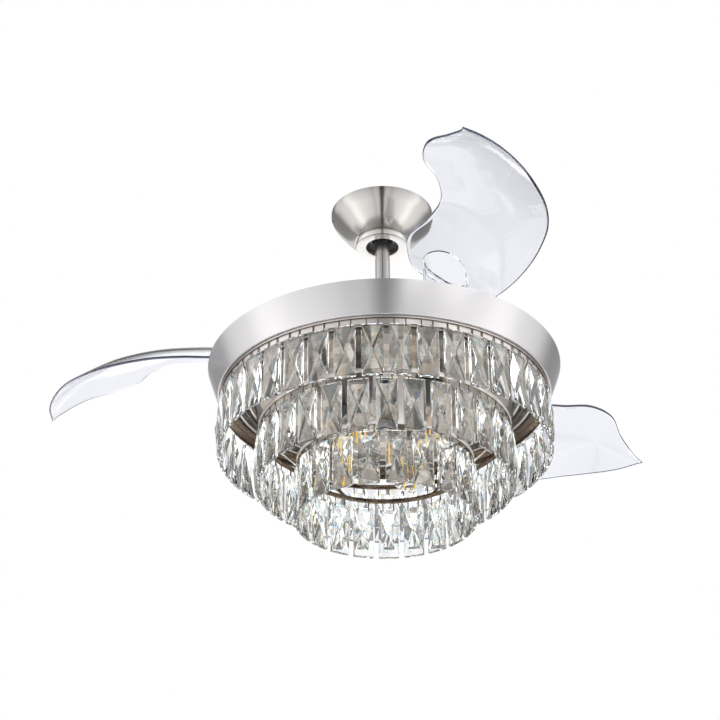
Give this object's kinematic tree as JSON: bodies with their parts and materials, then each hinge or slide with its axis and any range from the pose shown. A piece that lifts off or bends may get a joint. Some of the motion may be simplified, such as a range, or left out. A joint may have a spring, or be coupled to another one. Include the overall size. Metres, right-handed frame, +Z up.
{
  "type": "retractable blade ceiling fan",
  "caption": "Ceiling fan with swing-out clear blades over a shallow metal drum and stepped rows of hanging crystal bars round its lamps",
  "frame": {"origin": "middle of the hanging bracket's top face, at the ceiling", "axes": "+Z up; the camera of the picture is on the -Y side, below; the first blade's tip points nearly along -Y"},
  "size_m": [0.9194, 0.9035, 0.5046],
  "materials": {
    "satin_nickel": "satin brushed nickel",
    "polished_nickel": "polished nickel",
    "zinc_steel": "bright zinc",
    "black_steel": "black enamel",
    "ball_rubber": "black moulded",
    "copper": "enamelled copper wire",
    "magnet": "dull",
    "clear_blade": "clear, polished",
    "crystal": "clear cut crystal",
    "lamp_glass": "clear with amber filaments",
    "socket_plastic": "white moulded",
    "box_plastic": "black moulded",
    "lead_plastic": "black sleeve"
  },
  "bodies": {
    "mount": {"hanging_bracket": "zinc_steel", "canopy": "satin_nickel", "canopy_cover_ring": "polished_nickel", "canopy_screw_1": "zinc_steel", "canopy_screw_2": "zinc_steel", "receiver_box": "box_plastic"},
    "hanger": {"hanger_ball": "ball_rubber", "ball_cross_pin": "zinc_steel", "downrod": "satin_nickel", "motor_coupling": "black_steel", "coupling_pin": "zinc_steel", "coupling_set_screw_1": "zinc_steel", "coupling_set_screw_2": "zinc_steel", "supply_leads": "lead_plastic", "motor_shaft": "zinc_steel", "upper_bearing": "zinc_steel", "lower_bearing": "zinc_steel", "stator_core": "black_steel", "upper_winding": "copper", "lower_winding": "copper", "shaft_nut": "zinc_steel", "drum_band": "satin_nickel", "light_pan": "polished_nickel", "row_1_ring": "polished_nickel", "row_2_ring": "polished_nickel", "row_3_ring": "polished_nickel", "row_1_crystals": "crystal", "row_2_crystals": "crystal", "row_3_crystals": "crystal", "lamp_socket_1": "socket_plastic", "lamp_socket_2": "socket_plastic", "lamp_socket_3": "socket_plastic", "lamp_socket_4": "socket_plastic", "lamp_1": "lamp_glass", "lamp_2": "lamp_glass", "lamp_3": "lamp_glass", "lamp_4": "lamp_glass"},
    "rotor": {"magnet_ring": "magnet", "rotor_top_shell": "black_steel", "rotor_bottom_shell": "black_steel", "blade_carrier": "satin_nickel", "blade_pivot_1": "zinc_steel", "blade_pivot_2": "zinc_steel", "blade_pivot_3": "zinc_steel", "blade_spring_1": "zinc_steel", "blade_spring_2": "zinc_steel", "blade_spring_3": "zinc_steel"},
    "blade_one": {"blade_1": "clear_blade"},
    "blade_two": {"blade_2": "clear_blade"},
    "blade_three": {"blade_3": "clear_blade"}
  },
  "joints": [
    {"name": "hanger_swing", "type": "hinge", "parent": "mount", "child": "hanger", "pos_m": [0, 0, -0.03084], "axis": [1, 0, 0], "range_deg": [-12, 12]},
    {"name": "rotor_spin", "type": "hinge", "parent": "hanger", "child": "rotor", "pos_m": [0, 0, -0.23164], "axis": [0, 0, 1], "continuous": true},
    {"name": "blade_1_fold", "type": "hinge", "parent": "rotor", "child": "blade_one", "pos_m": [0.08182, -0.18393, -0.27264], "axis": [0, 0, 1], "range_deg": [-118, 0]},
    {"name": "blade_2_fold", "type": "hinge", "parent": "rotor", "child": "blade_two", "pos_m": [0.11838, 0.16282, -0.27264], "axis": [0, 0, 1], "range_deg": [-118, 0]},
    {"name": "blade_3_fold", "type": "hinge", "parent": "rotor", "child": "blade_three", "pos_m": [-0.2002, 0.02111, -0.27264], "axis": [0, 0, 1], "range_deg": [-118, 0]}
  ],
  "couplings": [
    {"joint": "blade_2_fold", "follows": "blade_1_fold", "ratio": 1},
    {"joint": "blade_3_fold", "follows": "blade_1_fold", "ratio": 1}
  ]
}
